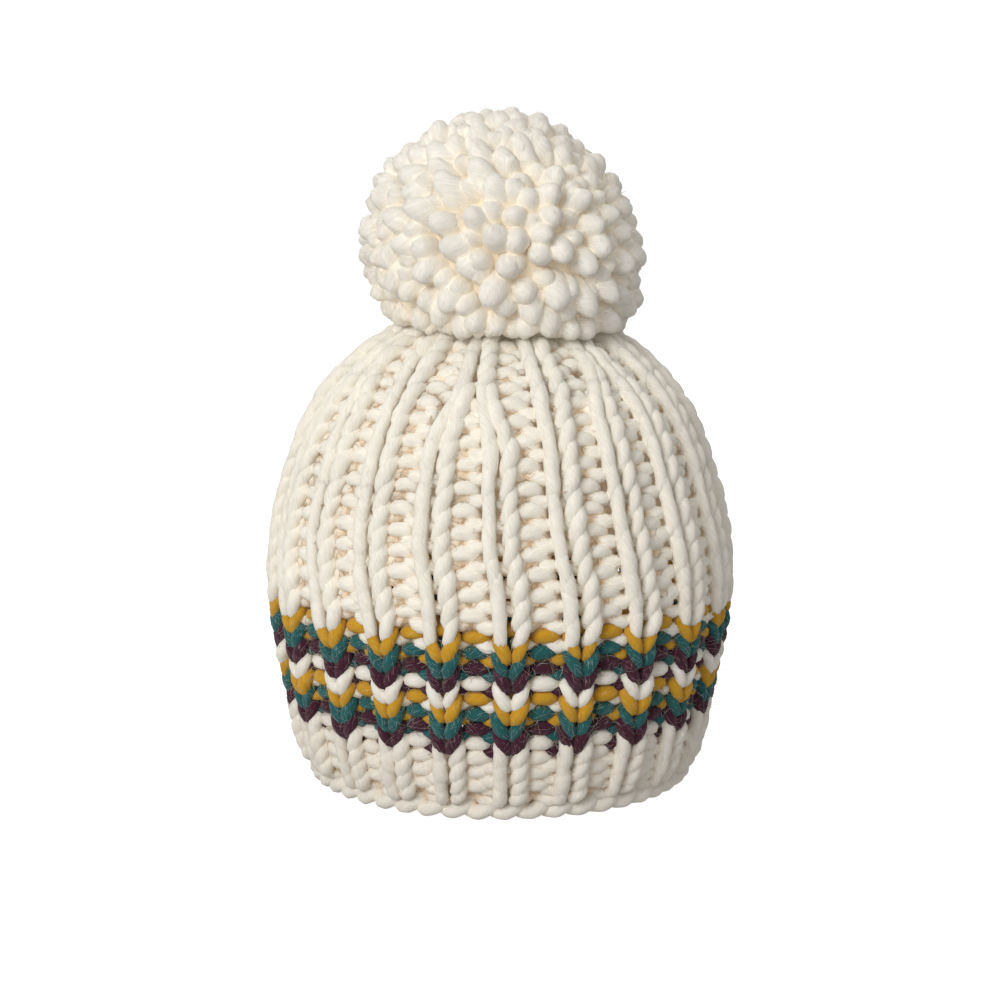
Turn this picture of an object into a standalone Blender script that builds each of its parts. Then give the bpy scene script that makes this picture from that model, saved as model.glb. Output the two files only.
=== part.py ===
"""A chunky ribbed knit toque that stands on its rim, with a big yarn pompom on top.

The hat is worked upward from a rope-like cast-on edge: a plain ribbed hem, seven single-course
stripes, a straight ribbed body, and a crown whose ribs merge two by two before it is gathered.
Every wall is one thickness of rib knit: knit ribs stand out in front, purl ribs stand out behind.
Metres, +Z up, the origin on the floor at the middle of the rim, the front of the hat facing -Y.
"""

import math

import bmesh
import bpy
import numpy as np
from mathutils import Matrix, Vector

# The yarn and the rib
YARN = 0.0058  # thickness of the single-ply yarn
RIB_RISE = 0.0046  # how far a rib's crest stands above the floor of the channel beside it
RIB_GROOVE = 0.0022  # depth of the groove between the two legs of each knit V
CREST_SHARE = 0.22  # from a rib's middle to its crest, as a share of one rib's width
RIB_GROUPS = 7  # groups of three ribs round the hat
RIBS_IN_GROUP = 3
RIB_TURN = math.radians(-14.6)  # the first rib sits this far round from -Y, towards +X
FIT = 0.0003  # the gap between neighbouring pieces

# The hat
FULL_RADIUS = 0.0955  # the middle of the fabric at the widest place
CROWN_HEIGHT = 0.2005  # the middle of the fabric at the gathered top
EDGE_RADIUS = 0.0052  # the cast-on edge's rope
EDGE_NECK = 0.0037  # the same rope between two of its twists
EDGE_SLANT = 0.5  # how far a twist leans over, in twists
HEM_DEPTH = 0.0349  # from the edge's centreline to the lowest stripe, along the fabric
STRIPE_COURSE = 0.0068  # one striped course, along the fabric
ZIGZAG = 0.0078  # how far the tip of a knit V hangs below its course
BODY_DEPTH = 0.068  # the straight ribbing above the stripes, along the fabric
RIB_SWAY = -0.163  # how far the ribs drift round above the stripes, in ribs
SWAY_DEPTH = 0.045  # the stretch above the stripes that the drift takes
LEAN_START = 0.032  # before the merge, where paired ribs begin to lean together
MERGE_DEPTH = 0.046  # above the body's end, where the paired ribs have become one
MERGED_SHARE = 0.33  # a merged rib's half width, as a share of one rib's old width
FADE_RADIUS = 0.040  # inside this radius the ribs flatten out into the gather

# The pompom and its tie
POMPOM_RADIUS = 0.0655  # to the tips of the yarn
POMPOM_LIFT = 0.0302  # its centre above the fabric's middle at the gathered top
POMPOM_LEAN = 0.03  # how much longer the yarn is towards the upper left, as a share
LOCKS = 46
LOCK_LENGTH = 0.040
LOCK_THICKNESS = 0.035
LOCK_SHOW = 0.014  # how much of a lock stands out of the pompom's core
TIE_RADIUS = 0.0028
TIE_IN_POMPOM = 0.016
KNOT_RADIUS = 0.0062

# The fabric's middle from the rim's rope to the gather: its height as a share of the way from
# the rope's centre up to CROWN_HEIGHT, and its radius as a share of FULL_RADIUS
SECTIONS = (
    # height, radius
    (0.000, 0.838),
    (0.036, 0.852),
    (0.077, 0.886),
    (0.138, 0.912),
    (0.212, 0.943),
    (0.286, 0.972),
    (0.386, 0.997),
    (0.471, 1.000),
    (0.581, 0.972),
    (0.679, 0.915),
    (0.777, 0.838),
    (0.845, 0.752),
    (0.907, 0.630),
    (0.953, 0.493),
    (0.982, 0.354),
    (0.996, 0.190),
)
STEPS_PER_SECTION = 12

# The striped courses, lowest first
STRIPES = ("plum_lower", "teal_lower", "gold_lower", "cream_middle", "plum_upper", "teal_upper", "gold_upper")

WOOLS = {
    # colour, roughness
    "cream": ((0.83, 0.78, 0.69), 0.92),
    "gold": ((0.56, 0.32, 0.03), 0.92),
    "teal": ((0.02, 0.16, 0.15), 0.92),
    "plum": ((0.06, 0.012, 0.03), 0.92),
    "white": ((0.87, 0.84, 0.76), 0.95),
}

RIBS = RIB_GROUPS * RIBS_IN_GROUP
RIB_ANGLE = 2 * math.pi / RIBS
STRIPES_HEAD = HEM_DEPTH + len(STRIPES) * STRIPE_COURSE
FLOOR = 0.0
EDGE_SIDES = 6  # an even number, so that the rope has a flat foot and a flat top
EDGE_REST = EDGE_RADIUS * math.cos(math.pi / EDGE_SIDES)  # the rope's centre above its flat foot


def clear_scene():
    for old in list(bpy.data.objects):
        bpy.data.objects.remove(old)


def dye(piece, wool):
    """Gives a piece its own wool material."""
    material = bpy.data.materials.new(f"{piece.name}_{wool}_wool")
    material.use_nodes = True
    colour, roughness = WOOLS[wool]
    shader = material.node_tree.nodes["Principled BSDF"]
    shader.inputs["Base Color"].default_value = (*colour, 1)
    shader.inputs["Roughness"].default_value = roughness
    shader.inputs["Metallic"].default_value = 0
    material.diffuse_color = (*colour, 1)
    piece.data.materials.append(material)


def as_object(shape, name, collection):
    """Turns a bmesh into a named object, with its faces pointing out."""
    bmesh.ops.recalc_face_normals(shape, faces=shape.faces)
    mesh = bpy.data.meshes.new(name)
    shape.to_mesh(mesh)
    shape.free()
    mesh.shade_smooth()
    piece = bpy.data.objects.new(name, mesh)
    collection.objects.link(piece)
    return piece


class Fabric:
    """The middle of the knitted wall: a curve through SECTIONS, turned about Z and measured by arc length."""

    def __init__(self):
        climb = CROWN_HEIGHT - EDGE_REST
        knots = [(r * FULL_RADIUS, EDGE_REST + z * climb) for z, r in SECTIONS]
        gather = (TIE_RADIUS + FIT, CROWN_HEIGHT)
        knots = np.array([*knots, gather])
        ends = np.vstack([2 * knots[0] - knots[1], knots, 2 * knots[-1] - knots[-2]])
        points = [knots[0]]
        for before, start, end, after in zip(ends, ends[1:], ends[2:], ends[3:]):
            for step in range(1, STEPS_PER_SECTION + 1):
                t = step / STEPS_PER_SECTION
                line = 2 * start + (end - before) * t
                square = (2 * before - 5 * start + 4 * end - after) * t**2
                cube = (3 * start - before - 3 * end + after) * t**3
                points.append((line + square + cube) / 2)
        self.points = np.array(points)
        moves = np.diff(self.points, axis=0)
        self.arcs = np.concatenate([[0], np.cumsum(np.hypot(*moves.T))])
        along = np.gradient(self.points, self.arcs, axis=0)
        along /= np.linalg.norm(along, axis=1)[:, None]
        self.normals = np.column_stack([along[:, 1], -along[:, 0]])
        self.length = self.arcs[-1]

    def at(self, arc, out=0.0):
        """(radius, height) of the point at this arc length, moved out along the wall's normal."""
        point = [np.interp(arc, self.arcs, self.points[:, k]) for k in (0, 1)]
        normal = [np.interp(arc, self.arcs, self.normals[:, k]) for k in (0, 1)]
        return point[0] + out * normal[0], point[1] + out * normal[1]

    def place(self, arc, turn, out=0.0):
        """The same point turned round the hat; turn is in radians from the front, towards +X."""
        radius, height = self.at(arc, out)
        return Vector((radius * math.sin(turn), -radius * math.cos(turn), height))


def smooth_step(value):
    value = min(1.0, max(0.0, value))
    return value * value * (3 - 2 * value)


def merging(arc):
    """0 where the ribs run straight, 1 where each pair has become one rib."""
    merge = STRIPES_HEAD + BODY_DEPTH + MERGE_DEPTH
    return smooth_step((arc - merge + LEAN_START) / LEAN_START)


def rib_place(rib, merged):
    """Where a place among the ribs, counted in ribs, goes as each group's first two ribs lean together."""
    group, inside = divmod(rib + CREST_SHARE, RIBS_IN_GROUP)
    inside -= CREST_SHARE
    pair_middle = 0.5
    single = RIBS_IN_GROUP - 1
    straight = (-CREST_SHARE, 1 + CREST_SHARE, single - CREST_SHARE, single + CREST_SHARE)
    joined = (
        pair_middle - MERGED_SHARE,
        pair_middle + MERGED_SHARE,
        single - MERGED_SHARE,
        single + MERGED_SHARE,
    )
    period = float(RIBS_IN_GROUP)
    leaned = np.interp(inside, (*straight, straight[0] + period), (*joined, joined[0] + period))
    return group * period + inside + merged * (leaned - inside)


def turn_of(rib, arc):
    """How far round the hat a place among the ribs sits, at a height along the fabric."""
    drift = RIB_SWAY * smooth_step((arc - STRIPES_HEAD) / SWAY_DEPTH)
    return RIB_TURN + RIB_ANGLE * (drift + rib_place(rib, merging(arc)))


def crest_of(fabric, arc):
    """How far a rib's crest stands from the fabric's middle: it flattens out towards the gather."""
    return YARN / 2 + RIB_RISE * smooth_step(fabric.at(arc)[0] / FADE_RADIUS)


def relief(fabric, arc, rib, front):
    """How far the wall's face stands from the fabric's middle at a place among the ribs."""
    crest = crest_of(fabric, arc)
    share = abs(rib - round(rib))
    in_channel = abs(share - 0.5) < 1e-6
    if not front:
        return -crest if in_channel else -YARN / 2
    rise = crest - YARN / 2
    groove = rise * (1 - RIB_GROOVE / RIB_RISE)
    if in_channel:
        between_pair = round(rib - 0.5) % RIBS_IN_GROUP == 0
        return YARN / 2 + groove * merging(arc) * between_pair
    return crest if share > 1e-6 else YARN / 2 + groove


def knitted_wall(fabric, name, collection, wool, foot, head, courses):
    """A ribbed wall from the arc foot(rib) to the arc head(rib), lofted between unlike sections.

    Its front has four columns of points a rib and its back has two.
    """
    shape = bmesh.new()
    front_ribs = [k + s for k in range(RIBS) for s in (0, CREST_SHARE, 0.5, 1 - CREST_SHARE)]
    back_ribs = [k + s for k in range(RIBS) for s in (0, 0.5)]

    def row(level, ribs, front):
        made = []
        for rib in ribs:
            arc = foot(rib) + (head(rib) - foot(rib)) * level
            out = relief(fabric, arc, rib, front)
            made.append(shape.verts.new(fabric.place(arc, turn_of(rib, arc), out)))
        return made

    levels = [course / courses for course in range(courses + 1)]
    front = [row(level, front_ribs, True) for level in levels]
    back = [row(level, back_ribs, False) for level in levels]
    for rows in (front, back):
        for low, high in zip(rows, rows[1:]):
            for k in range(len(low)):
                after = (k + 1) % len(low)
                shape.faces.new((low[k], low[after], high[after], high[k]))
    for outer, inner in ((front[0], back[0]), (front[-1], back[-1])):
        for k in range(len(inner)):
            after = (k + 1) % len(inner)
            first, crest, last = (outer[(2 * k + j) % len(outer)] for j in range(3))
            shape.faces.new((first, crest, inner[k]))
            shape.faces.new((crest, last, inner[after], inner[k]))
    dye(as_object(shape, name, collection), wool)


def zigzag(rib):
    """How far a course hangs below its own height: nothing in a channel, ZIGZAG at the tip of a knit V."""
    return ZIGZAG * (1 - 2 * abs(rib - round(rib)))


def course_line(level, inset):
    """The zigzag line at a height along the fabric, taken in by half a gap where a piece ends."""
    return lambda rib: level - zigzag(rib) + inset


def cast_on_edge(fabric, collection):
    """The twisted rope that starts the knitting: one slanting twist for each stitch, flat where it stands."""
    shape = bmesh.new()
    twists = 2 * RIBS
    sections = 2 * twists
    twist_angle = 2 * math.pi / twists
    rings = []
    for section in range(sections):
        size = EDGE_RADIUS if section % 2 == 0 else EDGE_NECK
        ring = []
        for side in range(EDGE_SIDES):
            angle = 2 * math.pi * (side + 0.5) / EDGE_SIDES - math.pi / 2
            lean = EDGE_SLANT * math.sin(angle)
            turn = twist_angle * (section / 2 + lean)
            radius, height = fabric.at(max(0, size * math.sin(angle)), size * math.cos(angle))
            if side in (0, EDGE_SIDES - 1):
                height = FLOOR
            point = (radius * math.sin(turn), -radius * math.cos(turn), height)
            ring.append(shape.verts.new(point))
        rings.append(ring)
    for k, ring in enumerate(rings):
        after = rings[(k + 1) % sections]
        for side in range(EDGE_SIDES):
            across = (side + 1) % EDGE_SIDES
            shape.faces.new((ring[side], ring[across], after[across], after[side]))
    dye(as_object(shape, "cast_on_edge", collection), "cream")


def wall_pieces(fabric, collection):
    """The hem, the striped courses, the body and the crown, each standing a gap above the last."""
    half = FIT / 2
    body_head = STRIPES_HEAD + BODY_DEPTH
    edge_top = EDGE_REST + FIT
    knitted_wall(
        fabric, "hem", collection, "cream",
        lambda rib: edge_top, course_line(HEM_DEPTH, -half), 2,
    )
    for k, name in enumerate(STRIPES):
        foot = HEM_DEPTH + k * STRIPE_COURSE
        knitted_wall(
            fabric, name + "_stripe", collection, name.split("_")[0],
            course_line(foot, half), course_line(foot + STRIPE_COURSE, -half), 1,
        )
    knitted_wall(
        fabric, "body", collection, "cream",
        course_line(STRIPES_HEAD, half), course_line(body_head, -half), 4,
    )
    knitted_wall(
        fabric, "crown", collection, "cream",
        course_line(body_head, half), lambda rib: fabric.length, 6,
    )


def new_collection(name):
    made = bpy.data.collections.new(name)
    bpy.context.scene.collection.children.link(made)
    return made


def as_cutter(piece):
    piece.hide_render = True
    piece.display_type = "WIRE"
    return piece


def turned(name, profile, collection, steps):
    """A closed profile of (radius, height) points, outer side top to bottom, turned about Z."""
    mesh = bpy.data.meshes.new(name)
    points = [(radius, 0, height) for radius, height in profile]
    mesh.from_pydata(points, [(k, k + 1) for k in range(len(points) - 1)], [])
    piece = bpy.data.objects.new(name, mesh)
    collection.objects.link(piece)
    screw = piece.modifiers.new("turn", "SCREW")
    screw.steps = screw.render_steps = steps
    screw.use_merge_vertices = True
    screw.merge_threshold = 0.0001
    return piece


def lock_directions():
    """Directions spread evenly over a ball, upper ones first."""
    golden = math.pi * (3 - math.sqrt(5))
    for k in range(LOCKS):
        height = 1 - 2 * (k + 0.5) / LOCKS
        across = math.sqrt(1 - height * height)
        yield Vector((across * math.cos(golden * k), across * math.sin(golden * k), height))


def pompom_reach(direction):
    """The yarn's tip in a direction: longer towards the upper left and lower right."""
    return POMPOM_RADIUS * (1 - POMPOM_LEAN * 2 * direction.x * direction.z)


def pompom(fabric, collection, cutters):
    """A ball of yarn locks fused to a core, seated on the crown and tied down through its middle."""
    centre = Vector((0, 0, CROWN_HEIGHT + POMPOM_LIFT))
    shape = bmesh.new()
    bmesh.ops.create_icosphere(
        shape, subdivisions=2, radius=POMPOM_RADIUS - LOCK_SHOW, matrix=Matrix.Translation(centre)
    )
    core = as_object(shape, "pompom", collection)
    dye(core, "white")
    locks = bmesh.new()
    for direction in lock_directions():
        middle = centre + direction * (pompom_reach(direction) - LOCK_LENGTH / 2)
        stretch = Matrix.Diagonal((LOCK_THICKNESS / 2, LOCK_THICKNESS / 2, LOCK_LENGTH / 2, 1))
        aim = direction.to_track_quat("Z", "Y").to_matrix().to_4x4()
        bmesh.ops.create_uvsphere(
            locks, u_segments=6, v_segments=4, radius=1,
            matrix=Matrix.Translation(middle) @ aim @ stretch,
        )
    lock_piece = as_cutter(as_object(locks, "pompom_locks", cutters))
    fuse = core.modifiers.new("locks", "BOOLEAN")
    fuse.operation = "UNION"
    fuse.object = lock_piece
    fuse.use_self = True
    for name, cutter in (("seat", crown_space(fabric, cutters)), ("hole", tie_space(fabric, cutters))):
        cut = core.modifiers.new(name, "BOOLEAN")
        cut.operation = "DIFFERENCE"
        cut.object = cutter


def crown_space(fabric, cutters):
    """The space that the crown takes up, with the gap that keeps the pompom clear of it."""
    steps = 24
    around = 1 / math.cos(math.pi / steps)  # keeps the flats of the turned space outside the crown
    arcs = np.linspace(fabric.length, fabric.length - 1.3 * POMPOM_RADIUS, 10)
    side = [fabric.at(arc, crest_of(fabric, arc) + FIT) for arc in arcs]
    side = [(radius * around, height) for radius, height in side]
    foot = side[-1][1] - POMPOM_RADIUS
    profile = [(0.0, side[0][1]), *side, (side[-1][0], foot), (0.0, foot)]
    return as_cutter(turned("crown_space", profile, cutters, steps))


def tie_heights(fabric):
    """The knot's centre under the gather, and the stem's top inside the pompom."""
    under_gather = crest_of(fabric, fabric.length - KNOT_RADIUS) + FIT
    return CROWN_HEIGHT - under_gather - KNOT_RADIUS, CROWN_HEIGHT + TIE_IN_POMPOM


def tie_space(fabric, cutters):
    radius = TIE_RADIUS + FIT
    top = tie_heights(fabric)[1] + FIT
    profile = [(0.0, top), (radius, top), (radius, CROWN_HEIGHT), (0.0, CROWN_HEIGHT)]
    return as_cutter(turned("tie_space", profile, cutters, 12))


def pompom_tie(fabric, collection):
    """The yarn that holds the pompom: a stem up through the gather, with its knot inside the hat."""
    knot, top = tie_heights(fabric)
    profile = [(0.0, top), (TIE_RADIUS, top)]
    start = math.acos(TIE_RADIUS / KNOT_RADIUS)
    for angle in np.linspace(start, -math.pi / 2, 6)[:-1]:
        profile.append((KNOT_RADIUS * math.cos(angle), knot + KNOT_RADIUS * math.sin(angle)))
    profile.append((0.0, knot - KNOT_RADIUS))
    dye(turned("pompom_tie", profile, collection, 12), "cream")


def main():
    clear_scene()
    collection = new_collection("knit_toque")
    cutters = new_collection("cutters")
    fabric = Fabric()
    cast_on_edge(fabric, collection)
    wall_pieces(fabric, collection)
    pompom(fabric, collection, cutters)
    pompom_tie(fabric, collection)


main()
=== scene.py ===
# %% [markdown]
# # A chunky ribbed toque with a big pompom
# This lesson dresses a plain solid hat with real yarn: every stitch is a tube that follows the
# path the yarn takes through the knitting. We load the solid hat first, because it tells us where
# each piece has to sit.

# %% Load the solid hat
import math

import bmesh
import bpy
import numpy as np
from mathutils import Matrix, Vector


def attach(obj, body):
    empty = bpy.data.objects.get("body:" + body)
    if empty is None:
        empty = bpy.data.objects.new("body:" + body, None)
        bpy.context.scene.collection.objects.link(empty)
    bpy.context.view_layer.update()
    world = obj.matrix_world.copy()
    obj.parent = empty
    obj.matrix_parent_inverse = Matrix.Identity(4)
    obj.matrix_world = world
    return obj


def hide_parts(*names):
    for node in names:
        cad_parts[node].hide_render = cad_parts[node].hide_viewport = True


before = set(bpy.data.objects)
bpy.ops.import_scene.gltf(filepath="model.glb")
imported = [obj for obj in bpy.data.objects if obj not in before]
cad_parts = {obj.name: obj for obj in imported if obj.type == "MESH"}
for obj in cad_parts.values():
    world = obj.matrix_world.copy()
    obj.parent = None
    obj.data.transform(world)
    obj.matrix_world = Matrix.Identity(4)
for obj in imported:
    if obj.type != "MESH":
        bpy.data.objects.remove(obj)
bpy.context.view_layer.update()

# %% [markdown]
# ## The shape of the fabric
# The fabric is a curved wall turned about the upright axis. We describe the middle of the wall by a
# few sections and join them with a smooth curve. Everything that is knitted is placed by three
# numbers: how far up the wall it is, how far round, and how far out of the wall it stands. That
# way a stitch can be designed flat, as on paper, and still follow the hat.

# %% The fabric's wall
MM = 0.001
ROPE_REST = 4.5 * MM
CROWN_HEIGHT = 200.5 * MM
FULL_RADIUS = 95.5 * MM
GATHER_RADIUS = 3.1 * MM
WALL_SECTIONS = [
    # height share, radius share
    (0.000, 0.838), (0.036, 0.852), (0.077, 0.886), (0.138, 0.912), (0.212, 0.943), (0.286, 0.972),
    (0.386, 0.997), (0.471, 1.000), (0.581, 0.972), (0.679, 0.915), (0.777, 0.838), (0.845, 0.752),
    (0.907, 0.630), (0.953, 0.493), (0.982, 0.354), (0.996, 0.190),
]


def smooth_step(value):
    value = np.clip(value, 0, 1)
    return value * value * (3 - 2 * value)


def through(knots, per_span, closed=False):
    """A smooth curve through knots (Catmull-Rom), with per_span points from each knot to the next."""
    knots = np.asarray(knots, float)
    if closed:
        ends = np.concatenate([knots[-1:], knots, knots[:2]])
    else:
        ends = np.concatenate([2 * knots[:1] - knots[1:2], knots, 2 * knots[-1:] - knots[-2:-1]])
    before, start, end, after = ends[:-3, None], ends[1:-2, None], ends[2:-1, None], ends[3:, None]
    t = (np.arange(per_span) / per_span).reshape(1, -1, *([1] * (knots.ndim - 1)))
    curve = (2 * start + (end - before) * t + (2 * before - 5 * start + 4 * end - after) * t**2
             + (3 * start - before - 3 * end + after) * t**3) / 2
    curve = curve.reshape(-1, *knots.shape[1:])
    return curve if closed else np.concatenate([curve, knots[-1:]])


climb = CROWN_HEIGHT - ROPE_REST
wall_knots = [(share * FULL_RADIUS, ROPE_REST + rise * climb) for rise, share in WALL_SECTIONS]
wall = through([*wall_knots, (GATHER_RADIUS, CROWN_HEIGHT)], 12)
wall_arc = np.concatenate([[0], np.cumsum(np.linalg.norm(np.diff(wall, axis=0), axis=1))])
wall_up = np.gradient(wall, wall_arc, axis=0)
wall_up /= np.linalg.norm(wall_up, axis=1, keepdims=True)
wall_out = np.column_stack([wall_up[:, 1], -wall_up[:, 0]])
print(f"the wall is {wall_arc[-1] / MM:.1f} mm long from the rim to the gather")


def on_wall(arc, turn, out):
    """Points and outward directions, for arrays of arc (m), turn (radians from the front) and out (m)."""
    radius, height, lean, lift = (
        np.interp(arc, wall_arc, column) for column in (*wall.T, *wall_out.T)
    )
    # Past either end of the wall the curve carries straight on.
    spare = np.clip(arc, None, 0)
    height = height + spare
    round_x, round_y = np.sin(turn), -np.cos(turn)
    outward = np.stack([lean * round_x, lean * round_y, lift], -1)
    point = np.stack([radius * round_x, radius * round_y, height], -1) + out[..., None] * outward
    return point, outward


# %% [markdown]
# ## Ribs that sway and merge
# A one-by-one rib has a knit column that stands out and a purl column that sinks in. This hat has
# 21 ribs. They drift a little round the hat above the stripes, and on the crown two of every three
# ribs lean together and become one: that is how a knitter makes the top narrower. We write these
# two habits as functions that move a place among the ribs.

# %% Where each rib runs
RIB_GROUPS = 7
RIBS = RIB_GROUPS * 3
RIB_ANGLE = 2 * math.pi / RIBS
FIRST_RIB = math.radians(-14.6)
STRIPES_HEAD = 82.5 * MM
SWAY, SWAY_DEPTH = -0.163, 45 * MM
LEAN_START, MERGED_ABOVE = 32 * MM, STRIPES_HEAD + 114 * MM
FRONT_MERGES_EARLY = 12 * MM
KNIT_EDGE, MERGED_EDGE = 0.22, 0.33
PULL, PULL_AT, PULL_WIDTH = 3.6, -48, 26  # degrees


def sway_turn(rib, arc):
    """The ribs drift above the stripes, and in the stripes those at the left are pulled forwards."""
    turn = FIRST_RIB + RIB_ANGLE * (rib + SWAY * smooth_step((arc - STRIPES_HEAD) / SWAY_DEPTH))
    near = (np.degrees(turn) + 180) % 360 - 180 - PULL_AT
    low = 1 - smooth_step((arc - STRIPES_HEAD + 20 * MM) / SWAY_DEPTH)
    return turn + math.radians(PULL) * np.exp(-((near / PULL_WIDTH) ** 2)) * low


def rib_turn(rib, arc, merged_groups):
    """How far round the hat a place among the ribs of one course is.

    rib counts the knit columns of this course. A group has three of them, or two once it has merged.
    """
    centres = []
    for group, merged in enumerate(merged_groups):
        own = [0.5, 2.0] if merged else [0, 1, 2]
        centres += [(3 * group + centre, MERGED_EDGE if merged else KNIT_EDGE) for centre in own]
    edges = [(k + side * KNIT_EDGE, centre + side * half)
             for k, (centre, half) in enumerate(centres) for side in (-1, 1)]
    count = len(centres)
    edges = [(k - count, place - RIBS) for k, place in edges[-2:]] + edges
    edges += [(k + count, place + RIBS) for k, place in edges[2:4]]
    place = np.interp(rib, *zip(*edges))
    # Before they merge, the first two ribs of a group lean together.
    group, inside = np.divmod(place + KNIT_EDGE, 3)
    inside = inside - KNIT_EDGE
    early = np.where(group.astype(int) % RIB_GROUPS == 0, FRONT_MERGES_EARLY, 0)
    lean = smooth_step((arc + early - MERGED_ABOVE + LEAN_START) / LEAN_START)
    lean = np.where(np.asarray(merged_groups)[group.astype(int) % RIB_GROUPS], 0, lean)
    straight = [-KNIT_EDGE, 1 + KNIT_EDGE, 2 - KNIT_EDGE, 2 + KNIT_EDGE, 3 - KNIT_EDGE]
    joined = [0.5 - MERGED_EDGE, 0.5 + MERGED_EDGE, 2 - MERGED_EDGE, 2 + MERGED_EDGE, 3.5 - MERGED_EDGE]
    return sway_turn(place + lean * (np.interp(inside, straight, joined) - inside), arc)


# %% [markdown]
# ## A tube of yarn
# Each yarn is a tube round a centreline. Blender's curve objects could do this, but we also want to
# store, for each point of the surface, how far along the yarn it is and how deep in the fabric it
# lies, because the wool's material reads both. So we build the tube ourselves: a frame is carried
# along the centreline without spinning, and a ring of points is set round it.

# %% Spinning a tube
def unit(vectors):
    return vectors / np.maximum(np.linalg.norm(vectors, axis=-1, keepdims=True), 1e-12)


def carry(side, along):
    return unit(side - (side * along).sum(-1, keepdims=True) * along)


def yarn_frames(path, closed):
    """Two directions across each point of (strands, points, 3) centrelines."""
    if closed:
        along = unit(np.roll(path, -1, 1) - np.roll(path, 1, 1))
    else:
        along = unit(np.gradient(path, axis=1))
    across = np.empty_like(path)
    side = np.cross(along[:, 0], [0.31, 0.22, 0.93])
    for k in range(path.shape[1]):
        side = across[:, k] = carry(side, along[:, k])
    other = np.cross(along, across)
    if closed:
        # Share out the small turn that is left where the yarn meets its own start.
        back = carry(across[:, -1], along[:, 0])
        left = np.arctan2((back * other[:, 0]).sum(-1), (back * across[:, 0]).sum(-1))
        angle = (-left[:, None] * np.arange(path.shape[1]) / path.shape[1])[..., None]
        across, other = (
            across * np.cos(angle) + other * np.sin(angle),
            other * np.cos(angle) - across * np.sin(angle),
        )
    return across, other


def spin(name, path, radius, closed=False, sides=8, outward=None, depth=None, lump=0.0, seed=1):
    """Makes one mesh of yarn tubes. path is (strands, points, 3), radius (strands, points)."""
    strands, points, _ = path.shape
    across, other = yarn_frames(path, closed)
    angle = 2 * math.pi * np.arange(sides) / sides
    spoke = across[:, :, None] * np.cos(angle)[:, None] + other[:, :, None] * np.sin(angle)[:, None]
    thick = np.repeat(radius[:, :, None], sides, 2)
    if lump:
        chance = np.random.default_rng(seed).normal(size=thick.shape)
        for axis in (1, 1, 2):
            chance = (np.roll(chance, 1, axis) + 2 * chance + np.roll(chance, -1, axis)) / 4
        thick = thick * (1 + lump * chance)
    skin = path[:, :, None] + spoke * thick[..., None]

    rings = points if closed else points - 1
    strand, ring, side = np.meshgrid(np.arange(strands), np.arange(rings), np.arange(sides), indexing="ij")

    def corner(ring_step, side_step):
        ring_at, side_at = (ring + ring_step) % points, (side + side_step) % sides
        return ((strand * points + ring_at) * sides + side_at).ravel()

    faces = np.stack([corner(0, 0), corner(0, 1), corner(1, 1), corner(1, 0)], 1).tolist()
    if not closed:
        first = np.arange(strands)[:, None] * points * sides + np.arange(sides)[::-1]
        last = first[:, ::-1] + (points - 1) * sides
        faces += first.tolist() + last.tolist()
    mesh = bpy.data.meshes.new(name)
    mesh.from_pydata(skin.reshape(-1, 3), [], faces)

    steps = np.linalg.norm(np.diff(path, axis=1, append=path[:, :1]), axis=2)
    length = np.concatenate([np.zeros((strands, 1)), np.cumsum(steps, 1)], 1)
    offset = (np.arange(strands) * 0.37)[:, None]
    length = length + offset
    rows = np.stack([length[strand, ring + step] for step in (0, 0, 1, 1)], -1)
    turns = np.stack([(side + step) / sides for step in (0, 1, 1, 0)], -1)
    uv = np.stack([rows, turns], -1).reshape(-1, 2)
    if not closed:
        uv = np.concatenate([uv, np.zeros((2 * strands * sides, 2))])
    mesh.uv_layers.new(name="yarn").data.foreach_set("uv", uv.astype(np.float32).ravel())

    if outward is not None:
        stand = depth[:, :, None] + thick * (spoke * outward[:, :, None]).sum(-1)
        note = mesh.attributes.new("stand", "FLOAT", "POINT")
        note.data.foreach_set("value", (stand / MM).astype(np.float32).ravel())
    mesh.shade_smooth()
    piece = bpy.data.objects.new(name, mesh)
    bpy.context.scene.collection.objects.link(piece)
    return piece


def triangles(piece):
    piece.data.calc_loop_triangles()
    return len(piece.data.loop_triangles)


TRIANGLES = []


def dress(piece, nodes, material):
    """Lets a piece stand for solid pieces of the hat, in its own wool."""
    piece.data.materials.append(material)
    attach(piece, "root")
    if nodes:
        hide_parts(*nodes)
    TRIANGLES.append(triangles(piece))
    print(f"{piece.name}: {TRIANGLES[-1]} triangles")


# %% [markdown]
# ## Writing shader maths as sums
# A material is a graph of nodes, and wiring every Math node by hand is hard to read. This small
# class wraps one socket, so that `1 - mask * 0.5` builds the two Math nodes for us. Any other node
# comes from one method: its type, its settings, and then what goes into its sockets.

# %% A socket that can do sums
class Wire:
    def __init__(self, tree, socket):
        self.tree, self.socket = tree, socket

    def sum(self, operation, first, second):
        return Shader(self.tree).node("ShaderNodeMath", {"operation": operation}, [first, second])["Value"]

    def __add__(self, other):
        return self.sum("ADD", self, other)

    def __sub__(self, other):
        return self.sum("SUBTRACT", self, other)

    def __mul__(self, other):
        return self.sum("MULTIPLY", self, other)

    def __truediv__(self, other):
        return self.sum("DIVIDE", self, other)

    __radd__ = __add__
    __rmul__ = __mul__

    def __rsub__(self, other):
        return self.sum("SUBTRACT", other, self)

    def step(self, low, high):
        """0 below low, 1 above high, eased in between."""
        made = Shader(self.tree).node(
            "ShaderNodeMapRange", {"interpolation_type": "SMOOTHSTEP", "clamp": True},
            {"Value": self, "From Min": low, "From Max": high},
        )
        return made["Result"]

    def function(self, operation):
        return self.sum(operation, self, 0.0)


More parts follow.
